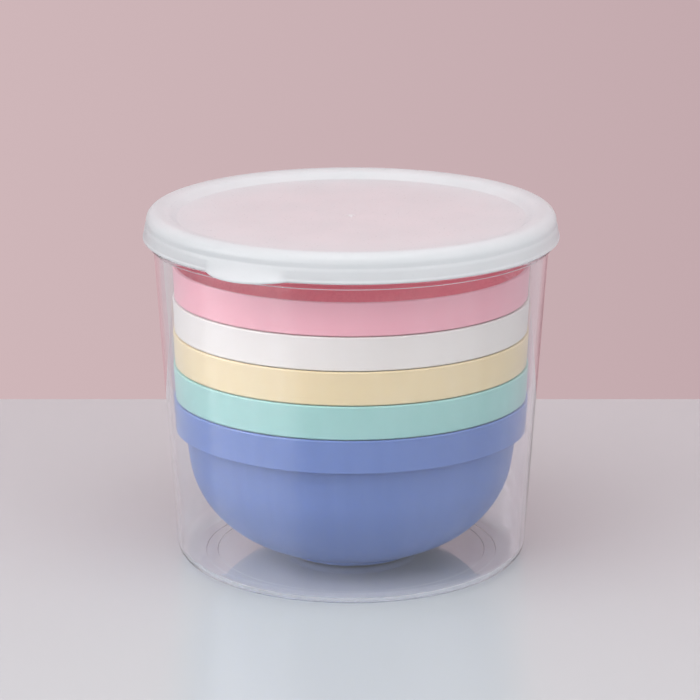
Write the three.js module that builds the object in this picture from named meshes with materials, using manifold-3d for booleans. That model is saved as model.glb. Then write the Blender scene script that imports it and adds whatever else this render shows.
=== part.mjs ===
// A set of nesting mixing bowls for hair colour, kept in a clear round tub with a push-on lid.
// Millimetres, +Z up. The origin is on the common axis, on the surface that the tub stands on.
import * as THREE from "three";
import { mergeVertices } from "three/addons/utils/BufferGeometryUtils.js";
import Module from "manifold-3d";

const wasm = await Module();
wasm.setup();

// ---- Driving dimensions -------------------------------------------------------------------

const SEGMENTS = 48; // steps round the axis: a multiple of 4, so the widest points lie on X and Y
const REST_GAP = 0.3; // left between two pieces where one rests on the other

// The bowls are all alike. Heights are measured up from a bowl's own foot.
const BOWL_HEIGHT = 58;
const BOWL_RIM_RADIUS = 63; // outside, at the top edge
const BOWL_WALL = 1.2; // body and base
const COLLAR_HEIGHT = 11.7; // the upright band under the rim, all of a nested bowl that shows
const COLLAR_WALL = 1.4;
const COLLAR_TAPER = 0.6; // how much narrower the collar's outside is at its lower edge
const COLLAR_EDGE = 0.5; // rounding of the rim's outer edge
const STEP_WIDTH = 3.15; // from the collar's lower edge in to the body
const NEST_CLEARANCE = 0.45; // between a bowl's body and the wall of the bowl that it sits in
const BASE_FLAT_RADIUS = 15; // where the body's curve runs out into the flat base
const FOOT_RADIUS = 23.5;
const FOOT_WIDTH = 2;
const FOOT_HEIGHT = 1.1; // flat base above the foot's ring

// From the lowest bowl to the highest.
const BOWLS = [
  { name: "blue_bowl", color: 0x6f83bd },
  { name: "mint_bowl", color: 0x9fd0cd },
  { name: "yellow_bowl", color: 0xecd9b0 },
  { name: "white_bowl", color: 0xe9e4e3 },
  { name: "pink_bowl", color: 0xecb4c1 },
];

// The tub.
const TUB_CLEARANCE = 1.45; // between the lowest bowl's rim and the tub's wall
const TUB_TAPER = 0.063; // growth of the radius per unit of height
const TUB_HEADROOM = 15.7; // from the highest bowl's rim to the tub's top edge
const TUB_WALL = 1.5;
const TUB_FLOOR = 1.2;
const TUB_CORNER = 6; // outside radius between floor and wall
const TUB_RECESS = 0.4; // the middle of the floor stands this far above the foot
const TUB_FOOT_INNER = 9.8; // from the base's nominal edge in to where the foot starts to rise
const TUB_RECESS_SLOPE = 4.2; // width of the rise from the foot to the recess
const BEAD_PROUD = 1.5; // the stop bead under the lid's skirt
const BEAD_HEIGHT = 2.1;

// The lid.
const LID_WALL = 1.4;
const LID_FIT = 0.5; // between the lid and each face of the tub's edge
const LID_HEIGHT = 10.1; // from the skirt's lower edge to the crest of the ring
const CREST_COVER = 2.5; // the crest above the channel that holds the tub's edge
const RING_OUTER_DROP = 3.8; // from the crest down to the ring's widest point
const RING_INNER_RUN = 6.8; // from the crest in to the panel
const SKIRT_FLARE = 1.2;
const SKIRT_BEAD = 1; // height of the rounded band at the skirt's lower edge
const PANEL_DROP = 3; // from the crest down to the panel
const PANEL_THICKNESS = 1.2;
const PLUG_DEPTH = 6; // how far the inner wall reaches into the tub
const TAB_REACH = 5.5;
const TAB_THICKNESS = 1.5;
const TAB_ROOT = 0.9; // how far the tab is let into the skirt
const TAB_MIDDLE_DEGREES = 238; // direction of its middle, from +X towards +Y
const TAB_HALF_DEGREES = 13;

// ---- Sizes that follow --------------------------------------------------------------------

const stackPitch = COLLAR_HEIGHT + REST_GAP;
const tubFloorTop = TUB_RECESS + TUB_FLOOR;
const firstFoot = tubFloorTop + REST_GAP;
const firstRim = firstFoot + BOWL_HEIGHT;
const lastRim = firstRim + stackPitch * (BOWLS.length - 1);
const tubHeight = lastRim + TUB_HEADROOM;

// Outside radius of the tub's wall at a height.
function tubRadius(z) {
  return BOWL_RIM_RADIUS + TUB_CLEARANCE + TUB_WALL + TUB_TAPER * (z - firstRim);
}

// ---- Outlines -----------------------------------------------------------------------------

const at = (r, z) => new THREE.Vector2(r, z);

// Rounds a corner: points on the conic that leaves "from" towards "corner" and arrives at "to".
// It is a circular arc when both legs are equally long. The two ends are left out.
function rounded(from, corner, to, steps) {
  const turn = corner.clone().sub(from).angleTo(to.clone().sub(corner));
  const weight = Math.cos(turn / 2);
  const points = [];
  for (let i = 1; i < steps; i++) {
    const t = i / steps;
    const a = (1 - t) ** 2;
    const b = 2 * weight * t * (1 - t);
    const c = t ** 2;
    const sum = from.clone().multiplyScalar(a);
    sum.addScaledVector(corner, b).addScaledVector(to, c);
    points.push(sum.divideScalar(a + b + c));
  }
  return points;
}

// Revolves a profile that starts and ends on the axis, listed from the underside outwards.
function revolve(profile) {
  const turned = new THREE.LatheGeometry(profile, SEGMENTS).rotateX(Math.PI / 2);
  turned.deleteAttribute("normal");
  turned.deleteAttribute("uv");
  return mergeVertices(turned, 1e-4);
}

// The outside of a bowl's body, from its base to the collar's step, or a parallel line inside it.
function bodyCurve(inset, base, top) {
  const stepHeight = BOWL_HEIGHT - COLLAR_HEIGHT;
  const stepRadius = BOWL_RIM_RADIUS - COLLAR_TAPER - STEP_WIDTH;
  // One pitch lower the body is narrower by its own wall and the clearance, so that bowls nest.
  const slope = (BOWL_WALL + NEST_CLEARANCE) / stackPitch;
  const wallAt = (z) => at(stepRadius - inset - slope * (stepHeight - z), z);
  const flat = at(BASE_FLAT_RADIUS, base);
  const straightEnd = wallAt(stepHeight - stackPitch);
  return [
    flat,
    ...rounded(flat, wallAt(base), straightEnd, 6),
    straightEnd,
    wallAt(top),
  ];
}

function bowlProfile() {
  const stepHeight = BOWL_HEIGHT - COLLAR_HEIGHT;
  const shelfHeight = stepHeight + BOWL_WALL;
  const collarRadius = BOWL_RIM_RADIUS - COLLAR_TAPER;
  const outside = bodyCurve(0, FOOT_HEIGHT, stepHeight);
  const inside = bodyCurve(BOWL_WALL, FOOT_HEIGHT + BOWL_WALL, shelfHeight);
  // The foot's ring cuts the body's curve where the curve passes the foot's radius.
  const next = outside.findIndex((p) => p.x > FOOT_RADIUS);
  const before = outside[next - 1];
  const share = (FOOT_RADIUS - before.x) / (outside[next].x - before.x);
  const footTop = before.clone().lerp(outside[next], share);
  const edgeStart = at(BOWL_RIM_RADIUS, BOWL_HEIGHT - COLLAR_EDGE);
  const edgeEnd = at(BOWL_RIM_RADIUS - COLLAR_EDGE, BOWL_HEIGHT);
  return [
    at(0, FOOT_HEIGHT),
    at(FOOT_RADIUS - FOOT_WIDTH, FOOT_HEIGHT),
    at(FOOT_RADIUS - FOOT_WIDTH, 0),
    at(FOOT_RADIUS, 0),
    footTop,
    ...outside.slice(next),
    at(collarRadius, stepHeight),
    edgeStart,
    ...rounded(edgeStart, at(BOWL_RIM_RADIUS, BOWL_HEIGHT), edgeEnd, 2),
    edgeEnd,
    at(BOWL_RIM_RADIUS - COLLAR_WALL, BOWL_HEIGHT),
    at(collarRadius - COLLAR_WALL, shelfHeight),
    ...inside.reverse(),
    at(0, FOOT_HEIGHT + BOWL_WALL),
  ];
}

function tubProfile() {
  const skirtEdge = lidCrest() - LID_HEIGHT;
  const beadTop = skirtEdge - REST_GAP;
  const beadBottom = beadTop - BEAD_HEIGHT;
  const beadRadius = tubRadius(beadTop) + BEAD_PROUD;
  const footInner = tubRadius(0) - TUB_FOOT_INNER;
  const cornerStart = at(tubRadius(0) - TUB_CORNER, 0);
  const cornerEnd = at(tubRadius(TUB_CORNER), TUB_CORNER);
  const innerCorner = TUB_CORNER - TUB_WALL;
  const innerEnd = at(tubRadius(0) - TUB_WALL - innerCorner, tubFloorTop);
  const innerTop = tubFloorTop + innerCorner;
  const innerStart = at(tubRadius(innerTop) - TUB_WALL, innerTop);
  const innerEdge = at(tubRadius(tubFloorTop) - TUB_WALL, tubFloorTop);
  return [
    at(0, TUB_RECESS),
    at(footInner - TUB_RECESS_SLOPE, TUB_RECESS),
    at(footInner, 0),
    cornerStart,
    ...rounded(cornerStart, at(tubRadius(0), 0), cornerEnd, 4),
    cornerEnd,
    at(tubRadius(beadBottom), beadBottom),
    at(beadRadius, beadBottom),
    at(beadRadius, beadTop),
    at(tubRadius(beadTop), beadTop),
    at(tubRadius(tubHeight), tubHeight),
    at(tubRadius(tubHeight) - TUB_WALL, tubHeight),
    innerStart,
    ...rounded(innerStart, innerEdge, innerEnd, 4),
    innerEnd,
    at(0, tubFloorTop),
  ];
}

// Height of the crest of the lid's ring.
function lidCrest() {
  return tubHeight + REST_GAP + CREST_COVER;
}

// Radius of the lid's ring at its widest, above the skirt.
function ringRadius() {
  return tubRadius(tubHeight) + LID_FIT + LID_WALL;
}

function lidProfile() {
  const crest = lidCrest();
  const ringWide = ringRadius();
  const wideHeight = crest - RING_OUTER_DROP;
  const channelTop = tubHeight + REST_GAP;
  const channelOuter = ringWide - LID_WALL;
  const channelInner = tubRadius(tubHeight) - TUB_WALL - LID_FIT;
  const crestPoint = at(channelInner, crest);
  const panelTop = crest - PANEL_DROP;
  const panelUnder = panelTop - PANEL_THICKNESS;
  const panelRadius = channelInner - RING_INNER_RUN;
  const slopeMiddle = at(panelRadius + RING_INNER_RUN * 0.3, (crest + panelTop) / 2);
  const skirtEdge = crest - LID_HEIGHT;
  const skirtWide = ringWide + SKIRT_FLARE;
  const plugInner = channelInner - LID_WALL;
  const plugEdge = channelTop - PLUG_DEPTH;
  const plugTaper = TUB_TAPER * PLUG_DEPTH; // the plug narrows with the tub's wall
  return [
    at(0, panelUnder),
    at(panelRadius, panelUnder),
    at(slopeMiddle.x + LID_WALL / 2, slopeMiddle.y - LID_WALL / 2),
    at(plugInner, crest - LID_WALL),
    at(plugInner - plugTaper, plugEdge),
    at(channelInner - plugTaper, plugEdge),
    at(channelInner, channelTop),
    at(channelOuter, channelTop),
    at(channelOuter, wideHeight - LID_WALL),
    at(skirtWide - LID_WALL, skirtEdge + SKIRT_BEAD),
    at(skirtWide - LID_WALL, skirtEdge),
    at(skirtWide - SKIRT_BEAD / 2, skirtEdge),
    at(skirtWide, skirtEdge + SKIRT_BEAD),
    at(ringWide, wideHeight - SKIRT_FLARE),
    at(ringWide, wideHeight),
    ...rounded(at(ringWide, wideHeight), at(ringWide, crest), crestPoint, 4),
    crestPoint,
    ...rounded(crestPoint, at(slopeMiddle.x + LID_WALL, crest), slopeMiddle, 3),
    slopeMiddle,
    at(panelRadius, panelTop),
    at(0, panelTop),
  ];
}

// The pull tab: a crescent that stands out from the skirt's lower edge.
function tabGeometry() {
  const root = ringRadius() + SKIRT_FLARE - TAB_ROOT;
  const reach = TAB_ROOT + TAB_REACH;
  const steps = 10;
  const outline = new THREE.Shape();
  for (let i = 0; i <= steps; i++) {
    const across = (2 * i) / steps - 1;
    const angle = THREE.MathUtils.degToRad(TAB_MIDDLE_DEGREES + TAB_HALF_DEGREES * across);
    const radius = root + reach * Math.sqrt(1 - across ** 2);
    if (i === 0) outline.moveTo(radius * Math.cos(angle), radius * Math.sin(angle));
    else outline.lineTo(radius * Math.cos(angle), radius * Math.sin(angle));
  }
  for (let i = steps - 1; i > 0; i--) {
    const across = (2 * i) / steps - 1;
    const angle = THREE.MathUtils.degToRad(TAB_MIDDLE_DEGREES + TAB_HALF_DEGREES * across);
    outline.lineTo(root * Math.cos(angle), root * Math.sin(angle));
  }
  const slab = new THREE.ExtrudeGeometry(outline, { depth: TAB_THICKNESS, bevelEnabled: false });
  slab.translate(0, 0, lidCrest() - LID_HEIGHT);
  slab.deleteAttribute("normal");
  slab.deleteAttribute("uv");
  return mergeVertices(slab, 1e-4);
}

// ---- Joining ------------------------------------------------------------------------------

function toSolid(geometry) {
  return new wasm.Manifold(
    new wasm.Mesh({
      numProp: 3,
      vertProperties: geometry.attributes.position.array,
      triVerts: new Uint32Array(geometry.index.array),
    }),
  );
}

function toGeometry(solid) {
  const mesh = solid.getMesh();
  const geometry = new THREE.BufferGeometry();
  geometry.setAttribute("position", new THREE.BufferAttribute(mesh.vertProperties, mesh.numProp));
  geometry.setIndex(new THREE.BufferAttribute(mesh.triVerts, 1));
  return geometry;
}

// ---- The pieces ---------------------------------------------------------------------------

const set = new THREE.Group();

function addPiece(name, geometry, look, height = 0) {
  geometry.computeVertexNormals();
  const mesh = new THREE.Mesh(geometry, new THREE.MeshStandardMaterial(look));
  mesh.name = name;
  mesh.position.z = height;
  set.add(mesh);
}

addPiece("tub", revolve(tubProfile()), {
  color: 0xf1eff1,
  roughness: 0.08,
  metalness: 0,
  transparent: true,
  opacity: 0.25,
});

BOWLS.forEach(({ name, color }, level) => {
  const look = { color, roughness: 0.42, metalness: 0 };
  addPiece(name, revolve(bowlProfile()), look, firstFoot + stackPitch * level);
});

const lidSolid = toSolid(revolve(lidProfile())).add(toSolid(tabGeometry()));
addPiece("lid", toGeometry(lidSolid), { color: 0xeeedee, roughness: 0.4, metalness: 0 });

export default set;
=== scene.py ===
"""Looks of a set of nesting hair colour bowls in a clear tub with a push-on lid.

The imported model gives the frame: every piece here takes its place and its overall size from a
node's box, in metres, and rides on that node's body. The sizes that a box can't tell, such as
walls and roundings, are fields of the piece's own class.
"""

import logging
import math
from abc import ABC, abstractmethod
from collections.abc import Callable, Sequence
from dataclasses import dataclass, field, replace
from enum import Enum

import bmesh
import bpy
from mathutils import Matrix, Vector


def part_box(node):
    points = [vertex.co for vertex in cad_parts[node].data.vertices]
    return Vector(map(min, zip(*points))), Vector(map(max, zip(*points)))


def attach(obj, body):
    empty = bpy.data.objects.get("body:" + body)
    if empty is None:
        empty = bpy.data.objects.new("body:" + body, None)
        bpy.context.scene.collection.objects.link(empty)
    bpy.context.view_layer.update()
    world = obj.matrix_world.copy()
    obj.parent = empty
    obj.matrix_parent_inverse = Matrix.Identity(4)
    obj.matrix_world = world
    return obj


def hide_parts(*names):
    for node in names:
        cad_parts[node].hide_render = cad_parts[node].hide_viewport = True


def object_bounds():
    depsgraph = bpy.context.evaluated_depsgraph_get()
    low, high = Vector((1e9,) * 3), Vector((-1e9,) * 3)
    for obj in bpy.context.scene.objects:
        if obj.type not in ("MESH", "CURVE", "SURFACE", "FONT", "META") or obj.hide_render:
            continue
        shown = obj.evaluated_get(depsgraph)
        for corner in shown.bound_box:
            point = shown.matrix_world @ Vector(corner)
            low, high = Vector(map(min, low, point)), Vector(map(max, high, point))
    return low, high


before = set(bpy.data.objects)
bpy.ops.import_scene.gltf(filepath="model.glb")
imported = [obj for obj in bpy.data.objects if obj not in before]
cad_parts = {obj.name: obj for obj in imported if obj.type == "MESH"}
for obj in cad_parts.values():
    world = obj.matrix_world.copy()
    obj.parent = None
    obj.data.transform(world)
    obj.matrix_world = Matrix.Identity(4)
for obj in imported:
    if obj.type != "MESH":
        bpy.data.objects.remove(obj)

CAD_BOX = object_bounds()
MM = 0.001
NOISE_LOW = 0.3  # most of a noise's values lie between these two
NOISE_HIGH = 0.7
DEPTH_ON_WEAK = 0.6  # how strongly a deeper colour loses its weaker channels

log = logging.getLogger("bowl_set")


# ---- Colours and shader nodes -------------------------------------------------------------


def linear(hex_code: str) -> tuple[float, float, float, float]:
    """Turns an sRGB colour into the linear one that the shaders take.

    Args:
        hex_code: six hexadecimal digits after a hash, such as "#E6D3B0".

    Returns:
        Linear red, green and blue with an alpha of 1.
    """
    channels = []
    for start in (1, 3, 5):
        value = int(hex_code[start : start + 2], 16) / 255
        channels.append(value / 12.92 if value <= 0.04045 else ((value + 0.055) / 1.055) ** 2.4)
    return (*channels, 1.0)


def deepened(colour: Sequence[float], depth: float) -> tuple[float, float, float, float]:
    """Deepens a linear colour: its strongest channel gains and its weaker ones lose.

    Args:
        colour: linear red, green, blue and alpha.
        depth: 0 leaves it as it is, 0.5 is a clearly richer colour.

    Returns:
        The deeper linear colour with an alpha of 1.
    """
    strongest = max(colour[:3])
    gained = strongest ** (1 - depth)
    loss = 1 + DEPTH_ON_WEAK * depth
    deep = [gained * (channel / strongest) ** loss for channel in colour[:3]]
    return (*deep, 1.0)


def add_node(tree: bpy.types.NodeTree, kind: str, **settings: object) -> bpy.types.Node:
    """Adds one shader node with its settings and links.

    Args:
        tree: the node tree of a material or of the world.
        kind: the node's type without "ShaderNode", such as "TexNoise".
        settings: a socket's name (with _ for a space) or identifier, or a property of the
            node. A (node, output name) pair is linked to the socket, anything else is set.

    Returns:
        The new node.
    """
    node = tree.nodes.new("ShaderNode" + kind)
    for key, value in settings.items():
        sockets = [
            socket
            for socket in node.inputs
            if socket.enabled and key in (socket.identifier, socket.name.replace(" ", "_"))
        ]
        if not sockets:
            setattr(node, key, value)
        elif isinstance(value, tuple) and isinstance(value[0], bpy.types.Node):
            source, output = value
            outputs = [each for each in source.outputs if each.enabled and each.name == output]
            tree.links.new(outputs[0], sockets[0])
        else:
            sockets[0].default_value = value
    return node


def noise_gloss(
    noise: bpy.types.Node,
    low: float,
    high: float,
    start: float = NOISE_LOW,
    end: float = NOISE_HIGH,
) -> bpy.types.Node:
    """Turns a noise into a roughness that drifts between two values.

    Args:
        noise: the noise node.
        low: the roughness where the noise is low.
        high: the roughness where the noise is high.
        start: the noise's value that gives the low roughness.
        end: the noise's value that gives the high roughness.

    Returns:
        The node whose Result is the roughness.
    """
    return add_node(
        noise.id_data,
        "MapRange",
        Value=(noise, "Fac"),
        From_Min=start,
        From_Max=end,
        To_Min=low,
        To_Max=high,
    )


def mixed_shaders(
    first: bpy.types.Node, second: bpy.types.Node, share: float | tuple[bpy.types.Node, str]
) -> bpy.types.Node:
    """Mixes two shaders.

    Args:
        first: the shader that shows where the share is 0.
        second: the shader that shows where the share is 1.
        share: a number, or a (node, output name) pair.

    Returns:
        The Mix Shader node.
    """
    tree = first.id_data
    mixed = add_node(tree, "MixShader", Fac=share)
    tree.links.new(first.outputs["BSDF"], mixed.inputs[1])
    tree.links.new(second.outputs["BSDF"], mixed.inputs[2])
    return mixed


# ---- Finishes -----------------------------------------------------------------------------


@dataclass(frozen=True)
class Finish(ABC):
    """What a surface is made of and how it was made."""

    name: str

    @abstractmethod
    def shade(self, tree: bpy.types.NodeTree) -> bpy.types.Node:
        """Adds the finish's nodes and returns the one whose shader the surface shows."""

    def material(self) -> bpy.types.Material:
        """Makes the Blender material of this finish.

        Returns:
            A new material with the finish's nodes and its output.
        """
        made = bpy.data.materials.new(self.name)
        made.use_nodes = True
        made.node_tree.nodes.clear()
        last = self.shade(made.node_tree)
        output = "BSDF" if "BSDF" in last.outputs else "Shader"
        add_node(made.node_tree, "OutputMaterial", Surface=(last, output))
        return made


@dataclass(frozen=True)
class SatinPolypropylene(Finish):
    """Injection-moulded polypropylene, coloured through, from a spark-eroded mould.

    The eye sees an even, chalky pastel with a soft sheen and no sharp reflections. The colour
    drifts by a shade where the melt flowed up the wall in streaks from the gate in the base,
    and light soaks a millimetre or two into the thin edges. The inside comes off a polished
    core, so it is glossier. Its colour is also deepened, as painted shade for the light that
    bounces about inside the bowl.
    """

    pigment: str = "#FFFFFF"
    streak: str = "#FFFFFF"
    # the outside keeps its colour as it is; the inside's copy takes the deeper colour below, as
    # painted shade for the light that bounces about inside the bowl
    depth: float = 0.0
    inside_painted_shade_depth: float = 0.15
    gloss_low: float = 0.36
    gloss_high: float = 0.46
    inside_gloss_low: float = 0.24
    inside_gloss_high: float = 0.32
    ior: float = 1.49
    soak_depth: float = 1.6 * MM
    soak_share: float = 0.15
    drift_size: float = 32 * MM
    streak_width: float = 5 * MM
    streak_rise: float = 0.12  # streaks run up the wall, so they change slowly with height
    streak_from: float = 0.12
    streak_to: float = 0.42
    grain_size: float = 0.7 * MM  # the real spark grain is 0.05 mm, too fine to show
    grain_depth: float = 0.012 * MM
    grain_strength: float = 0.6
    wall_radius: float = 62 * MM

    def polished(self) -> "SatinPolypropylene":
        """The same plastic off a polished core: glossier, with its colour deepened as painted
        shade.
        """
        return replace(
            self,
            name=self.name + "_polished",
            depth=self.inside_painted_shade_depth,
            gloss_low=self.inside_gloss_low,
            gloss_high=self.inside_gloss_high,
        )

    def shade(self, tree: bpy.types.NodeTree) -> bpy.types.Node:
        """Adds streaks, drift, grain and sheen.

        Args:
            tree: the material's node tree.

        Returns:
            The Principled node.
        """
        place = add_node(tree, "TexCoord")
        axes = add_node(tree, "SeparateXYZ", Vector=(place, "Object"))
        turn = add_node(tree, "Math", operation="ARCTAN2", Value=(axes, "Y"), Value_001=(axes, "X"))
        across = add_node(
            tree, "Math", operation="MULTIPLY", Value=(turn, "Value"), Value_001=self.wall_radius
        )
        rise = add_node(
            tree, "Math", operation="MULTIPLY", Value=(axes, "Z"), Value_001=self.streak_rise
        )
        flow = add_node(tree, "CombineXYZ", X=(across, "Value"), Z=(rise, "Value"))
        streaks = add_node(
            tree, "TexNoise", Vector=(flow, "Vector"), Scale=1 / self.streak_width, Detail=2.0
        )
        drift = add_node(
            tree, "TexNoise", Vector=(place, "Object"), Scale=1 / self.drift_size, Detail=1.0
        )
        mingled = add_node(
            tree, "Math", operation="MULTIPLY", Value=(streaks, "Fac"), Value_001=(drift, "Fac")
        )
        share = add_node(
            tree,
            "MapRange",
            Value=(mingled, "Value"),
            From_Min=self.streak_from,
            From_Max=self.streak_to,
        )
        colour = add_node(
            tree,
            "Mix",
            data_type="RGBA",
            Factor=(share, "Result"),
            # on the inside's copy both colours are deepened here, as painted shade
            A=deepened(linear(self.pigment), self.depth),
            B=deepened(linear(self.streak), self.depth),
        )
        grain = add_node(
            tree, "TexNoise", Vector=(place, "Object"), Scale=1 / self.grain_size, Detail=3.0
        )
        gloss = noise_gloss(grain, self.gloss_low, self.gloss_high)
        relief = add_node(
            tree,
            "Bump",
            Strength=self.grain_strength,
            Distance=self.grain_depth,
            Height=(grain, "Fac"),
        )
        return add_node(
            tree,
            "BsdfPrincipled",
            Base_Color=(colour, "Result"),
            Roughness=(gloss, "Result"),
            Normal=(relief, "Normal"),
            IOR=self.ior,
            Subsurface_Weight=self.soak_share,
            Subsurface_Radius=linear(self.pigment)[:3],
            Subsurface_Scale=self.soak_depth,
        )


@dataclass(frozen=True)
class MilkyPolyethylene(Finish):
    """Injection-moulded low-density polyethylene without pigment.

    The eye sees a cloudy, slightly waxy white that glows where it is thin and shows a broad
    soft highlight along each rounding.
    """

    body: str = "#F5F6F8"
    cloud: str = "#F2F4F6"
    gloss_low: float = 0.27
    gloss_high: float = 0.36
    ior: float = 1.51
    passed_share: float = 0.47
    cloud_size: float = 18 * MM
    cloud_from: float = 0.35
    cloud_to: float = 0.65
    grain_size: float = 0.9 * MM  # drawn coarser than the mould's fine matt grain
    grain_depth: float = 0.010 * MM
    grain_strength: float = 0.5

    def shade(self, tree: bpy.types.NodeTree) -> bpy.types.Node:
        """Adds the cloudiness, the waxy sheen and the fine grain.

        Args:
            tree: the material's node tree.

        Returns:
            The Mix Shader node of the wall's own white and the light that it passes.
        """
        place = add_node(tree, "TexCoord")
        clouds = add_node(
            tree, "TexNoise", Vector=(place, "Object"), Scale=1 / self.cloud_size, Detail=3.0
        )
        share = add_node(
            tree,
            "MapRange",
            Value=(clouds, "Fac"),
            From_Min=self.cloud_from,
            From_Max=self.cloud_to,
        )
        colour = add_node(
            tree,
            "Mix",
            data_type="RGBA",
            Factor=(share, "Result"),
            A=linear(self.body),
            B=linear(self.cloud),
        )
        grain = add_node(
            tree, "TexNoise", Vector=(place, "Object"), Scale=1 / self.grain_size, Detail=2.0
        )
        gloss = noise_gloss(grain, self.gloss_low, self.gloss_high)
        relief = add_node(
            tree,
            "Bump",
            Strength=self.grain_strength,
            Distance=self.grain_depth,
            Height=(grain, "Fac"),
        )
        wall = add_node(
            tree,
            "BsdfPrincipled",
            Base_Color=(colour, "Result"),
            Roughness=(gloss, "Result"),
            Normal=(relief, "Normal"),
            IOR=self.ior,
        )
        passed = add_node(tree, "BsdfTranslucent", Color=(colour, "Result"))
        return mixed_shaders(wall, passed, self.passed_share)


@dataclass(frozen=True)
class ClearPolystyrene(Finish):
    """Injection-moulded clear polystyrene from a polished mould.

    The eye sees what is behind it almost unchanged, under a faint veil of reflected room light,
    with bright and dark lines only where the wall turns: at the rim, the bead and the foot.
    Lamps reach what is inside, and lose almost nothing on the way.
    """

    tint: str = "#FAF9FC"
    shadow_tint: str = "#FEFEFE"
    gloss_low: float = 0.0
    gloss_high: float = 0.03
    ior: float = 1.52
    ripple_size: float = 26 * MM
    ripple_depth: float = 0.010 * MM
    smear_size: float = 9 * MM
    smear_from: float = 0.45
    smear_to: float = 0.75

    def shade(self, tree: bpy.types.NodeTree) -> bpy.types.Node:
        """Adds the clear wall, its faint ripples and the way lamps pass it.

        Args:
            tree: the material's node tree.

        Returns:
            The Mix Shader node that lets lamps through.
        """
        place = add_node(tree, "TexCoord")
        smears = add_node(
            tree, "TexNoise", Vector=(place, "Object"), Scale=1 / self.smear_size, Detail=3.0
        )
        gloss = noise_gloss(
            smears, self.gloss_low, self.gloss_high, self.smear_from, self.smear_to
        )
        ripples = add_node(
            tree, "TexNoise", Vector=(place, "Object"), Scale=1 / self.ripple_size, Detail=0.0
        )
        relief = add_node(
            tree, "Bump", Strength=1.0, Distance=self.ripple_depth, Height=(ripples, "Fac")
        )
        wall = add_node(
            tree,
            "BsdfPrincipled",
            Base_Color=linear(self.tint),
            Roughness=(gloss, "Result"),
            Normal=(relief, "Normal"),
            IOR=self.ior,
            Transmission_Weight=1.0,
        )
        passed = add_node(tree, "BsdfTransparent", Color=linear(self.shadow_tint))
        path = add_node(tree, "LightPath")
        return mixed_shaders(wall, passed, (path, "Is Shadow Ray"))


@dataclass(frozen=True)
class PlainSheet(Finish):
    """A flat sheet of one colour, with a fine grain in its gloss."""

    surface: str = "#FFFFFF"
    gloss_low: float = 0.5
    gloss_high: float = 0.6
    grain_size: float = 0.8 * MM
    ior: float = 1.5

    def shade(self, tree: bpy.types.NodeTree) -> bpy.types.Node:
        """Adds the sheet's even colour and grained gloss.

        Args:
            tree: the material's node tree.

        Returns:
            The Principled node.
        """
        place = add_node(tree, "TexCoord")
        grain = add_node(
            tree, "TexNoise", Vector=(place, "Object"), Scale=1 / self.grain_size, Detail=2.0
        )
        gloss = noise_gloss(grain, self.gloss_low, self.gloss_high)
        return add_node(
            tree,
            "BsdfPrincipled",
            Base_Color=linear(self.surface),
            Roughness=(gloss, "Result"),
            IOR=self.ior,
        )


@dataclass(frozen=True)
class TableLaminate(PlainSheet):
    """Pale melamine laminate, pressed against a fine satin plate.

    The eye sees a plain cool white that mirrors what stands on it in a soft, short blur.
    """

    surface: str = "#C5C9CC"
    gloss_low: float = 0.235
    gloss_high: float = 0.25


@dataclass(frozen=True)
class BackdropPaper(PlainSheet):
    """Dyed rose paper off a roll, uncoated.

    The eye sees an even, matt pink that throws its colour on the table in front of it.
    """

    surface: str = "#D6A9B0"
    gloss_low: float = 0.8
    gloss_high: float = 0.9


class BowlColour(Enum):
    """The five colours of the bowls, with each one's finish."""

    BLUE = SatinPolypropylene("moulded_pp_periwinkle", pigment="#667FBB", streak="#6B84BF")
    MINT = SatinPolypropylene("moulded_pp_mint", pigment="#9CCCC6", streak="#A4D1CC")
    YELLOW = SatinPolypropylene("moulded_pp_custard", pigment="#E7D4AA", streak="#EAD9B3")
    # each inside's deeper colour is painted shade: the rose bowl's is deepened most, the white
    # one's not at all
    WHITE = SatinPolypropylene(
        "moulded_pp_white", pigment="#E6E2DD", streak="#E9E6E2", inside_painted_shade_depth=0.0
    )
    PINK = SatinPolypropylene(
        "moulded_pp_rose", pigment="#F0AFBC", streak="#F2B4C0", inside_painted_shade_depth=0.9
    )


# ---- Outlines and turned meshes -----------------------------------------------------------


@dataclass(frozen=True)
class Corner:
    """A corner of an outline: its radius from the axis, its height and its rounding."""

    r: float
    z: float
    rounding: float = 0.0

    def vector(self) -> Vector:
        """The corner's place in the outline's own plane."""
        return Vector((self.r, self.z))


ARC_STEP = math.radians(15)
ALMOST_STRAIGHT = 0.02  # a turn smaller than this, in radians, needs no rounding
LONGEST_REACH = 0.45  # a rounding takes at most this share of each straight beside it
HOLD = 0.25 * MM  # a point this far along each straight keeps its shading flat
ROOM_FOR_HOLD = 3 * HOLD


def rounded_outline(corners: Sequence[Corner]) -> list[Vector]:
    """Rounds the corners of an open outline by arcs.

    Args:
        corners: the outline's corners in order. The first and the last stay sharp.

    Returns:
        The points of the rounded outline, each with its radius and height.
    """
    points = [corners[0].vector()]
    for before, corner, after in zip(corners, corners[1:], corners[2:]):
        here = corner.vector()
        back = before.vector() - here
        on = after.vector() - here
        opening = back.angle(on)
        if corner.rounding == 0 or math.pi - opening < ALMOST_STRAIGHT:
            points.append(here)
            continue
        longest = LONGEST_REACH * min(back.length, on.length)
        reach = min(corner.rounding / math.tan(opening / 2), longest)
        radius = reach * math.tan(opening / 2)
        inward = (back.normalized() + on.normalized()).normalized()
        centre = here + inward * (radius / math.sin(opening / 2))
        start = here + back.normalized() * reach
        turn = math.pi - opening
        side = 1 if back.x * on.y - back.y * on.x < 0 else -1
        steps = max(2, math.ceil(turn / ARC_STEP))
        if back.length > reach + ROOM_FOR_HOLD:
            points.append(start + back.normalized() * HOLD)
        spoke = start - centre
        for i in range(steps + 1):
            angle = side * turn * i / steps
            across = spoke.x * math.cos(angle) - spoke.y * math.sin(angle)
            up = spoke.x * math.sin(angle) + spoke.y * math.cos(angle)
            points.append(centre + Vector((across, up)))
        if on.length > reach + ROOM_FOR_HOLD:
            points.append(here + on.normalized() * (reach + HOLD))
    points.append(corners[-1].vector())
    return points


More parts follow.
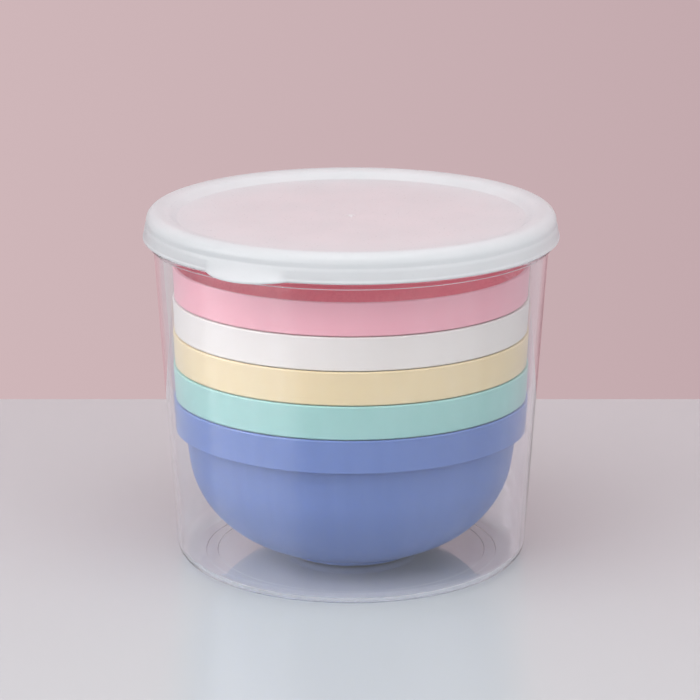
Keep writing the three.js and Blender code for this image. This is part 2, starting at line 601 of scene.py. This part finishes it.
def swept_corner(start: Corner, corner: Corner, end: Corner, steps: int) -> list[Corner]:
    """Fills a corner with the conic that leaves one straight and arrives on the other.

    Args:
        start: where the curve leaves the first straight.
        corner: where the two straights would meet.
        end: where the curve arrives on the second straight.
        steps: how many lines the curve is drawn with.

    Returns:
        The curve's points without its two ends.
    """
    first = start.vector()
    middle = corner.vector()
    last = end.vector()
    weight = math.cos((middle - first).angle(last - middle) / 2)
    filled = []
    for i in range(1, steps):
        t = i / steps
        a = (1 - t) ** 2
        b = 2 * weight * t * (1 - t)
        c = t**2
        point = (first * a + middle * b + last * c) / (a + b + c)
        filled.append(Corner(point.x, point.y))
    return filled


def even_stations(count: int) -> list[float]:
    """Angles round the axis at which an outline is placed, evenly spread."""
    return [2 * math.pi * i / count for i in range(count)]


ROUND_STEPS = 144
Pull = Callable[[float, int], tuple[float, float]]


def finished(name: str, mesh: bmesh.types.BMesh) -> bpy.types.Object:
    """Turns a mesh in the making into an object of the scene.

    Args:
        name: the object's name.
        mesh: the mesh, which is freed.

    Returns:
        The new object, with its origin at the frame's zero.
    """
    data = bpy.data.meshes.new(name)
    mesh.to_mesh(data)
    mesh.free()
    made = bpy.data.objects.new(name, data)
    bpy.context.scene.collection.objects.link(made)
    return made


def turned(
    name: str,
    outline: Sequence[Vector],
    stations: Sequence[float],
    pull: Pull | None = None,
    inner_from: int | None = None,
) -> bpy.types.Object:
    """Turns an outline about the Z axis into a closed mesh.

    Args:
        name: the piece's name.
        outline: points that start and end on the axis.
        stations: the angles at which the outline is placed.
        pull: how far a point is moved outwards and up, from its angle and its index.
        inner_from: the outline's point from which its faces take the second material.

    Returns:
        The new object, with its origin on the axis at the frame's zero.
    """
    mesh = bmesh.new()
    first = mesh.verts.new((0, 0, outline[0].y))
    last = mesh.verts.new((0, 0, outline[-1].y))
    rings = []
    for angle in stations:
        ring = [first]
        for i, point in enumerate(outline[1:-1], start=1):
            outwards, upwards = pull(angle, i) if pull else (0.0, 0.0)
            radius = point.x + outwards
            place = (radius * math.cos(angle), radius * math.sin(angle), point.y + upwards)
            ring.append(mesh.verts.new(place))
        rings.append([*ring, last])
    for here, there in zip(rings, [*rings[1:], rings[0]]):
        for i in range(len(outline) - 1):
            corners = [here[i], there[i], there[i + 1], here[i + 1]]
            face = mesh.faces.new(list(dict.fromkeys(corners)))
            face.material_index = int(inner_from is not None and i >= inner_from)
    bmesh.ops.recalc_face_normals(mesh, faces=mesh.faces)
    for face in mesh.faces:
        face.smooth = True
    return finished(name, mesh)


def dress(
    piece: bpy.types.Object, finishes: Sequence[Finish], node: str
) -> bpy.types.Object:
    """Gives a piece its materials and ties it to the frame.

    Args:
        piece: the finished mesh, in place.
        finishes: what it is made of, in the order of its faces' material indices.
        node: the CAD node that it stands for, which is also its body's name.

    Returns:
        The same piece.
    """
    for finish in finishes:
        piece.data.materials.append(finish.material())
    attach(piece, node)
    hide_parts(node)
    log.info("%s: %d faces, %s", piece.name, len(piece.data.polygons), finishes[0].name)
    return piece


# ---- The bowls ----------------------------------------------------------------------------


@dataclass
class Bowl:
    """One mixing bowl: a round body under a stepped, upright collar, on a ring foot."""

    node: str
    slot: str
    colour: BowlColour
    wall: float = 1.2 * MM
    collar_height: float = 11.7 * MM
    collar_wall: float = 1.4 * MM
    collar_taper: float = 0.6 * MM
    step_width: float = 3.15 * MM
    nest_pitch: float = 12 * MM
    nest_clearance: float = 0.45 * MM
    base_flat: float = 15 * MM
    foot_radius: float = 23.5 * MM
    foot_width: float = 2 * MM
    foot_height: float = 1.1 * MM
    edge: float = 0.45 * MM
    small_edge: float = 0.3 * MM
    gate_radius: float = 1.6 * MM
    gate_depth: float = 0.3 * MM
    rim_level: float = 0.001 * MM  # points this close below the rim's top belong to it
    curve_steps: int = 22

    @property
    def rim_radius(self) -> float:
        """The collar's outer radius at the rim."""
        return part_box(self.node)[1].x

    @property
    def height(self) -> float:
        """The bowl's height from its foot to its rim."""
        low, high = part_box(self.node)
        return high.z - low.z

    def body_curve(self, inset: float, base: float, top: float) -> list[Corner]:
        """Draws the body's wall from the flat base to the collar.

        Args:
            inset: how far the line lies inside the outer face.
            base: the height of the flat base on this face.
            top: the height at which the line ends.

        Returns:
            The line's corners from the base up.
        """
        step_height = self.height - self.collar_height
        step_radius = self.rim_radius - self.collar_taper - self.step_width
        slope = (self.wall + self.nest_clearance) / self.nest_pitch

        def wall_at(z: float) -> Corner:
            """The straight part of the wall at a height."""
            return Corner(step_radius - inset - slope * (step_height - z), z)

        flat = Corner(self.base_flat, base)
        straight = wall_at(step_height - self.nest_pitch)
        curve = swept_corner(flat, wall_at(base), straight, self.curve_steps)
        return [flat, *curve, straight, wall_at(top)]

    def outline(self) -> list[Vector]:
        """Draws the bowl's section from the underside's middle, round the rim, to the inside.

        Returns:
            The section's points in the frame's heights.
        """
        height = self.height
        step = height - self.collar_height
        shelf = step + self.wall
        collar = self.rim_radius - self.collar_taper
        outside = self.body_curve(0.0, self.foot_height, step)
        inside = self.body_curve(self.wall, self.foot_height + self.wall, shelf)
        outside = [corner for corner in outside if corner.r > self.foot_radius + self.small_edge]
        outside[-1] = Corner(outside[-1].r, step, 2 * self.edge)
        inside[-1] = Corner(inside[-1].r, shelf, 2 * self.edge)
        foot_inner = self.foot_radius - self.foot_width
        foot_top = outside[0].z - self.small_edge
        gate = self.gate_radius  # where the shallow groove round the gate's pip is deepest
        gate_edge = self.small_edge / 2
        corners = [
            Corner(0, self.foot_height - self.gate_depth),
            Corner(gate / 3, self.foot_height - self.gate_depth, gate_edge),
            Corner(gate / 2, self.foot_height, gate_edge),
            Corner(gate, self.foot_height + self.gate_depth / 2, gate_edge),
            Corner(3 * gate / 2, self.foot_height, gate_edge),
            Corner(foot_inner, self.foot_height, self.small_edge),
            Corner(foot_inner, 0, self.small_edge),
            Corner(self.foot_radius, 0, self.small_edge),
            Corner(self.foot_radius, foot_top, self.small_edge),
            *outside,
            Corner(collar, step, self.small_edge),
            Corner(self.rim_radius, height, self.edge),
            Corner(self.rim_radius - self.collar_wall, height, self.edge),
            Corner(collar - self.collar_wall, shelf, 2 * self.edge),
            *reversed(inside),
            Corner(0, self.foot_height + self.wall),
        ]
        lift = Vector((0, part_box(self.node)[0].z))
        return [point + lift for point in rounded_outline(corners)]

    def build(self) -> bpy.types.Object:
        """Builds the bowl and dresses it.

        Returns:
            The bowl, riding on its body.
        """
        outline = self.outline()
        rim = max(point.y for point in outline) - self.rim_level
        inner_from = max(i for i, point in enumerate(outline) if point.y > rim)
        made = turned(
            self.node + "_shell", outline, even_stations(ROUND_STEPS), inner_from=inner_from
        )
        # the inner faces take the polished copy, whose deeper colour is painted shade
        outside = self.colour.value
        return dress(made, [outside, outside.polished()], self.node)


# ---- The tub ------------------------------------------------------------------------------


@dataclass
class Tub:
    """The clear round tub: a tapered wall on a footed floor, with a stop bead for the lid."""

    node: str = "tub"
    slot: str = "clear_tub"
    finish: ClearPolystyrene = field(
        default_factory=lambda: ClearPolystyrene("moulded_clear_polystyrene")
    )
    wall: float = 1.5 * MM
    floor: float = 1.44 * MM
    taper: float = 0.063
    corner: float = 6 * MM
    recess: float = 0.16 * MM  # in two steps, which show as two faint rings
    foot_inner: float = 9.8 * MM
    ring_width: float = 4.2 * MM
    bead_proud: float = 1.5 * MM
    bead_height: float = 2.1 * MM
    bead_drop: float = 7.6 * MM  # from the rim down to the bead's upper face
    rim_radius: float = 69.96 * MM
    edge: float = 0.5 * MM
    corner_steps: int = 10

    @property
    def height(self) -> float:
        """The tub's height from its foot to its rim."""
        low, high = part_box(self.node)
        return high.z - low.z

    def radius(self, z: float) -> float:
        """The wall's outer radius at a height above the foot."""
        return self.rim_radius - self.taper * (self.height - z)

    def outline(self) -> list[Vector]:
        """Draws the tub's section from the underside's middle, round the rim, to the floor.

        Returns:
            The section's points.
        """
        floor_top = self.recess + self.floor
        half_recess = self.recess / 2
        bead_top = self.height - self.bead_drop
        bead_low = bead_top - self.bead_height
        bead = self.radius(bead_top) + self.bead_proud
        bead_edge = self.bead_height / 2
        foot = self.radius(0)
        foot_inner = foot - self.foot_inner
        corner_start = Corner(foot - self.corner, 0)
        corner_end = Corner(self.radius(self.corner), self.corner)
        inner_corner = self.corner - self.wall
        inner_end = Corner(foot - self.wall - inner_corner, floor_top)
        inner_top = floor_top + inner_corner
        inner_start = Corner(self.radius(inner_top) - self.wall, inner_top)
        inner_edge = Corner(self.radius(floor_top) - self.wall, floor_top)
        corners = [
            Corner(0, self.recess),
            Corner(foot_inner - self.ring_width - self.recess, self.recess, self.edge),
            Corner(foot_inner - self.ring_width, half_recess, self.edge),
            Corner(foot_inner - 2 * self.recess, half_recess, self.edge),
            Corner(foot_inner, 0, self.edge),
            corner_start,
            *swept_corner(corner_start, Corner(foot, 0), corner_end, self.corner_steps),
            corner_end,
            Corner(self.radius(bead_low), bead_low, self.edge),
            Corner(bead, bead_low, bead_edge),
            Corner(bead, bead_top, bead_edge),
            Corner(self.radius(bead_top), bead_top, self.edge),
            Corner(self.rim_radius, self.height, self.edge),
            Corner(self.rim_radius - self.wall, self.height, self.edge),
            inner_start,
            *swept_corner(inner_start, inner_edge, inner_end, self.corner_steps),
            inner_end,
            Corner(0, floor_top),
        ]
        return rounded_outline(corners)

    def build(self) -> bpy.types.Object:
        """Builds the tub and dresses it.

        Returns:
            The tub, riding on its body.
        """
        made = turned("tub_shell", self.outline(), even_stations(ROUND_STEPS))
        return dress(made, [self.finish], self.node)


# ---- The lid ------------------------------------------------------------------------------


@dataclass
class Lid:
    """The milky push-on lid: a raised ring round a sunk panel, a skirt and a pull tab."""

    node: str = "lid"
    slot: str = "lid_plastic"
    finish: MilkyPolyethylene = field(
        default_factory=lambda: MilkyPolyethylene("moulded_milky_polyethylene")
    )
    wall: float = 1.4 * MM
    ring_radius: float = 71.86 * MM
    channel_radius: float = 67.96 * MM  # where the plug meets the tub's inside, under the crest
    skirt_height: float = 10.1 * MM  # from the skirt's edge to the crest
    skirt_flare: float = 1.2 * MM
    skirt_bead: float = 1.0 * MM
    crest_cover: float = 2.5 * MM
    outer_drop: float = 3.8 * MM
    inner_run: float = 6.8 * MM
    panel_drop: float = 3 * MM
    panel_thickness: float = 1.2 * MM
    plug_depth: float = 6 * MM
    plug_taper: float = 0.38 * MM
    tab_reach: float = 5.5 * MM
    tab_thickness: float = 0.9 * MM
    tab_root: float = 5 * MM  # how far up the skirt the tab's hollow top runs
    tab_droop: float = 0.5 * MM
    tab_middle: float = math.radians(240.5)
    tab_half: float = math.radians(12.5)
    tab_steps: int = 36
    edge: float = 0.4 * MM
    gate_radius: float = 1.7 * MM
    gate_height: float = 0.25 * MM
    ring_steps: int = 14
    slope_share: float = 0.3  # where the ring's inner face turns, from the panel to the crest
    station_gap: float = 0.01  # radians kept free between the even stations and the tab's
    tab_depth: float = 0.9  # the tab takes this share of the wall with it
    tab_sweep: int = 3  # how sharply the tab leaves the skirt

    def skirt_corners(self, low: float, flare: float) -> list[Corner]:
        """Draws the skirt's outer face, from its edge with a small bead up to the ring.

        Args:
            low: the height of the skirt's edge.
            flare: the skirt's outer radius at its edge.

        Returns:
            The corners from the edge up.
        """
        bead = self.skirt_bead  # each height here is counted in beads above the edge
        waist = flare - 0.3 * bead  # just above the bead
        leans = [
            Corner(waist - 0.1 * i * self.skirt_flare, low + (1.6 + 0.7 * i) * bead)
            for i in range(1, 5)
        ]
        return [
            Corner(flare - bead / 2, low, self.edge),
            Corner(flare, low + 0.4 * bead, self.edge / 2),
            Corner(flare, low + 0.8 * bead, self.edge / 2),
            Corner(waist, low + 1.3 * bead, self.edge),
            *leans,
        ]

    def gate_corners(self, panel: float) -> list[Corner]:
        """Draws the mould gate's mark: a pip in a shallow round dip.

        Args:
            panel: the height of the panel's upper face.

        Returns:
            The corners from the dip's edge to the axis.
        """
        dip = panel - self.gate_height
        pip = panel + self.gate_height
        # each radius is a share of the whole mark's
        return [
            Corner(self.gate_radius, panel, self.edge),
            Corner(0.8 * self.gate_radius, dip, self.edge),
            Corner(0.4 * self.gate_radius, dip, self.edge / 2),
            Corner(0.3 * self.gate_radius, pip, self.edge / 2),
            Corner(0, pip),
        ]

    def outline(self) -> list[Vector]:
        """Draws the lid's section from the panel's underside, round the skirt, to its top.

        Returns:
            The section's points.
        """
        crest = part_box(self.node)[1].z
        wide = crest - self.outer_drop
        channel_top = crest - self.crest_cover
        channel_outer = self.ring_radius - self.wall
        panel = crest - self.panel_drop
        under = panel - self.panel_thickness
        panel_radius = self.channel_radius - self.inner_run
        slope = Corner(panel_radius + self.slope_share * self.inner_run, (crest + panel) / 2)
        peak = Corner(self.channel_radius, crest)
        skirt = crest - self.skirt_height
        flare = self.ring_radius + self.skirt_flare
        plug_inner = self.channel_radius - self.wall
        plug_edge = channel_top - self.plug_depth
        plug_low = self.channel_radius - self.plug_taper
        ring_start = Corner(self.ring_radius, wide)
        corners = [
            Corner(0, under),
            Corner(panel_radius, under, self.edge),
            Corner(slope.r + self.wall / 2, slope.z - self.wall / 2, self.edge),
            Corner(plug_inner, crest - self.wall, self.edge),
            Corner(plug_inner - self.plug_taper, plug_edge, self.edge),
            Corner(plug_low, plug_edge, self.edge),
            Corner(self.channel_radius, channel_top, self.edge),
            Corner(channel_outer, channel_top, self.edge),
            Corner(channel_outer, wide - self.wall, self.edge),
            Corner(flare - self.wall, skirt + self.skirt_bead, self.edge),
            Corner(flare - self.wall, skirt, self.edge),
            *self.skirt_corners(skirt, flare),
            Corner(self.ring_radius, wide - self.skirt_flare, self.skirt_flare),
            ring_start,
            *swept_corner(ring_start, Corner(self.ring_radius, crest), peak, self.ring_steps),
            peak,
            *swept_corner(peak, Corner(slope.r + self.wall, crest), slope, self.ring_steps),
            slope,
            Corner(panel_radius, panel, 2 * self.edge),
            *self.gate_corners(panel),
        ]
        return rounded_outline(corners)

    def stations(self) -> list[float]:
        """Places the outline evenly round the lid, and closer together along the tab.

        Returns:
            The angles in order.
        """
        start = self.tab_middle - self.tab_half
        end = self.tab_middle + self.tab_half
        outside = [
            angle
            for angle in even_stations(ROUND_STEPS)
            if not start - self.station_gap < angle < end + self.station_gap
        ]
        along = [
            self.tab_middle - self.tab_half * math.cos(math.pi * i / self.tab_steps)
            for i in range(self.tab_steps + 1)
        ]
        return sorted([*outside, *along])

    def build(self) -> bpy.types.Object:
        """Builds the lid with its tab and dresses it.

        Returns:
            The lid, riding on its body.
        """
        outline = self.outline()
        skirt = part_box(self.node)[1].z - self.skirt_height
        root = self.ring_radius + self.skirt_flare - self.tab_depth * self.wall
        tab_top = skirt + self.tab_thickness
        lip = {
            i: max(0.0, min(1.0, (point.y - tab_top) / self.tab_root))
            for i, point in enumerate(outline)
            if point.x > root and point.y < tab_top + self.tab_root
        }

        def tab(angle: float, index: int) -> tuple[float, float]:
            """Gives how far the tab moves one point of the outline.

            Args:
                angle: the point's direction from the axis.
                index: the point's place in the outline.

            Returns:
                How far the point goes outwards and up.
            """
            across = (angle - self.tab_middle) / self.tab_half
            if index not in lip or abs(across) >= 1:
                return 0.0, 0.0
            share = (1 - lip[index]) ** self.tab_sweep * (1 - across**2)
            return self.tab_reach * share, -self.tab_droop * share

        made = turned("lid_shell", outline, self.stations(), tab)
        return dress(made, [self.finish], self.node)


# ---- The studio ---------------------------------------------------------------------------


@dataclass(frozen=True)
class SoftBox:
    """A large soft light, placed round the object and turned to face it."""

    name: str
    azimuth: float  # degrees from the camera's side, to the left where negative
    elevation: float
    distance: float
    width: float
    height: float
    radiance: float
    glare_only: bool = False  # shows in reflections and throws no light of its own

    def build(self, target: Vector) -> None:
        """Adds the light.

        Args:
            target: the point that it faces.
        """
        lamp = bpy.data.lights.new(self.name, "AREA")
        lamp.shape = "RECTANGLE"
        lamp.size = self.width
        lamp.size_y = self.height
        lamp.energy = self.radiance * math.pi * self.width * self.height
        turn = math.radians(self.azimuth)
        lift = math.radians(self.elevation)
        away = Vector(
            (math.sin(turn) * math.cos(lift), -math.cos(turn) * math.cos(lift), math.sin(lift))
        )
        made = bpy.data.objects.new(self.name, lamp)
        made.location = target + away * self.distance
        made.rotation_mode = "QUATERNION"
        made.rotation_quaternion = away.to_track_quat("Z", "Y")
        made.visible_camera = False
        made.visible_diffuse = not self.glare_only
        bpy.context.scene.collection.objects.link(made)


@dataclass
class Studio:
    """The camera, the soft lights, the pale table and the plain rose wall behind it."""

    lens_mm: float = 154.3
    camera_place: Vector = field(default_factory=lambda: Vector((-0.0004, -1.0274, 0.3538)))
    camera_pitch: float = math.radians(90 - 15.209)
    table_depth: float = 2.4
    table_width: float = 3.2
    table_back: float = 0.199
    table_thickness: float = 30 * MM
    table_gap: float = 0.1 * MM  # keeps the tub's flat foot off the table's face
    table_edge: float = 4 * MM
    table_edge_steps: int = 4
    table_finish: TableLaminate = field(
        default_factory=lambda: TableLaminate("pressed_white_laminate")
    )
    wall_place: float = 0.55
    wall_left_end: float = -0.5
    wall_right_end: float = 1.1
    wall_low: float = -0.2
    wall_high: float = 1.2
    wall_finish: BackdropPaper = field(default_factory=lambda: BackdropPaper("matt_rose_paper"))
    wall_left: str = "#CFB6B9"
    wall_right: str = "#C4AAAE"
    wall_blend: float = 0.12  # the far wall's colour turns over this much of a direction's X
    behind_from: float = 0.8  # directions whose Y is above this start to see the far wall
    behind_to: float = 0.92
    room_colour: str = "#D4D6D6"
    room_strength: float = 1.0
    lights: tuple[SoftBox, ...] = (
        SoftBox(
            "key_softbox",
            azimuth=-57,
            elevation=37,
            distance=1.1,
            width=0.9,
            height=0.6,
            radiance=1.6,
        ),
        SoftBox(
            "glare_softbox",
            azimuth=-66,
            elevation=19,
            distance=1.2,
            width=1.4,
            height=0.4,
            radiance=4.9,
            glare_only=True,
        ),
        SoftBox(
            "fill_softbox",
            azimuth=56,
            elevation=23,
            distance=1.4,
            width=1.1,
            height=0.8,
            radiance=1.42,
        ),
        SoftBox(
            "top_softbox",
            azimuth=-4,
            elevation=68,
            distance=1.0,
            width=0.9,
            height=0.8,
            radiance=1.95,
        ),
    )

    def add_camera(self) -> None:
        """Adds the camera and makes it the scene's own."""
        lens = bpy.data.cameras.new("camera")
        lens.lens = self.lens_mm
        lens.clip_start = 0.01
        made = bpy.data.objects.new("camera", lens)
        made.location = self.camera_place
        made.rotation_euler = (self.camera_pitch, 0, 0)
        bpy.context.scene.collection.objects.link(made)
        bpy.context.scene.camera = made

    def add_room(self) -> None:
        """Makes the surroundings: a rose wall behind, a pale room on every other side."""
        world = bpy.data.worlds.new("studio_room")
        bpy.context.scene.world = world
        world.use_nodes = True
        tree = world.node_tree
        tree.nodes.clear()
        place = add_node(tree, "TexCoord")
        axes = add_node(tree, "SeparateXYZ", Vector=(place, "Generated"))
        behind = add_node(
            tree,
            "MapRange",
            interpolation_type="SMOOTHSTEP",
            Value=(axes, "Y"),
            From_Min=self.behind_from,
            From_Max=self.behind_to,
        )
        across = add_node(
            tree,
            "MapRange",
            Value=(axes, "X"),
            From_Min=-self.wall_blend,
            From_Max=self.wall_blend,
        )
        wall = add_node(
            tree,
            "Mix",
            data_type="RGBA",
            Factor=(across, "Result"),
            A=linear(self.wall_left),
            B=linear(self.wall_right),
        )
        colour = add_node(
            tree,
            "Mix",
            data_type="RGBA",
            Factor=(behind, "Result"),
            A=linear(self.room_colour),
            B=(wall, "Result"),
        )
        glow = add_node(
            tree, "Background", Color=(colour, "Result"), Strength=self.room_strength
        )
        add_node(tree, "OutputWorld", Surface=(glow, "Background"))

    def add_table(self) -> None:
        """Adds the table top with softly rounded edges."""
        mesh = bmesh.new()
        bmesh.ops.create_cube(mesh, size=1.0)
        for vertex in mesh.verts:
            vertex.co.x *= self.table_width
            vertex.co.y = self.table_back + (vertex.co.y - 0.5) * self.table_depth
            vertex.co.z = (vertex.co.z - 0.5) * self.table_thickness - self.table_gap
        bmesh.ops.bevel(
            mesh,
            geom=mesh.edges[:],
            offset=self.table_edge,
            segments=self.table_edge_steps,
            affect="EDGES",
        )
        made = finished("table_top", mesh)
        made.data.materials.append(self.table_finish.material())

    def add_wall(self) -> None:
        """Adds the rose backdrop that throws its colour on the table and shows in reflections."""
        mesh = bmesh.new()
        left = self.wall_left_end
        right = self.wall_right_end
        corners = [
            (left, self.wall_low),
            (right, self.wall_low),
            (right, self.wall_high),
            (left, self.wall_high),
        ]
        mesh.faces.new([mesh.verts.new((x, self.wall_place, z)) for x, z in corners])
        made = finished("backdrop", mesh)
        made.data.materials.append(self.wall_finish.material())
        made.visible_camera = False
        made.visible_transmission = False

    def build(self) -> None:
        """Builds the whole studio round the object."""
        bpy.context.scene.view_settings.view_transform = "Standard"
        self.add_camera()
        self.add_room()
        self.add_table()
        self.add_wall()
        target = (CAD_BOX[0] + CAD_BOX[1]) / 2
        for light in self.lights:
            light.build(target)
            log.info("%s: light", light.name)


# ---- Building -----------------------------------------------------------------------------


def set_light_paths() -> None:
    """Lets light bounce often enough to fill the bowls and to leave the tub's edges clear."""
    paths = bpy.context.scene.cycles
    paths.diffuse_bounces = 12
    paths.glossy_bounces = 32
    paths.transmission_bounces = 48
    paths.max_bounces = 64


def main() -> None:
    """Builds the studio and the seven pieces, from the outside in."""
    logging.basicConfig(level=logging.INFO, format="%(name)s: %(message)s")
    set_light_paths()
    Studio().build()
    Tub().build()
    for colour in BowlColour:
        shade = colour.name.lower()
        Bowl(shade + "_bowl", shade + "_plastic", colour).build()
    Lid().build()


if __name__ == "__main__":
    main()
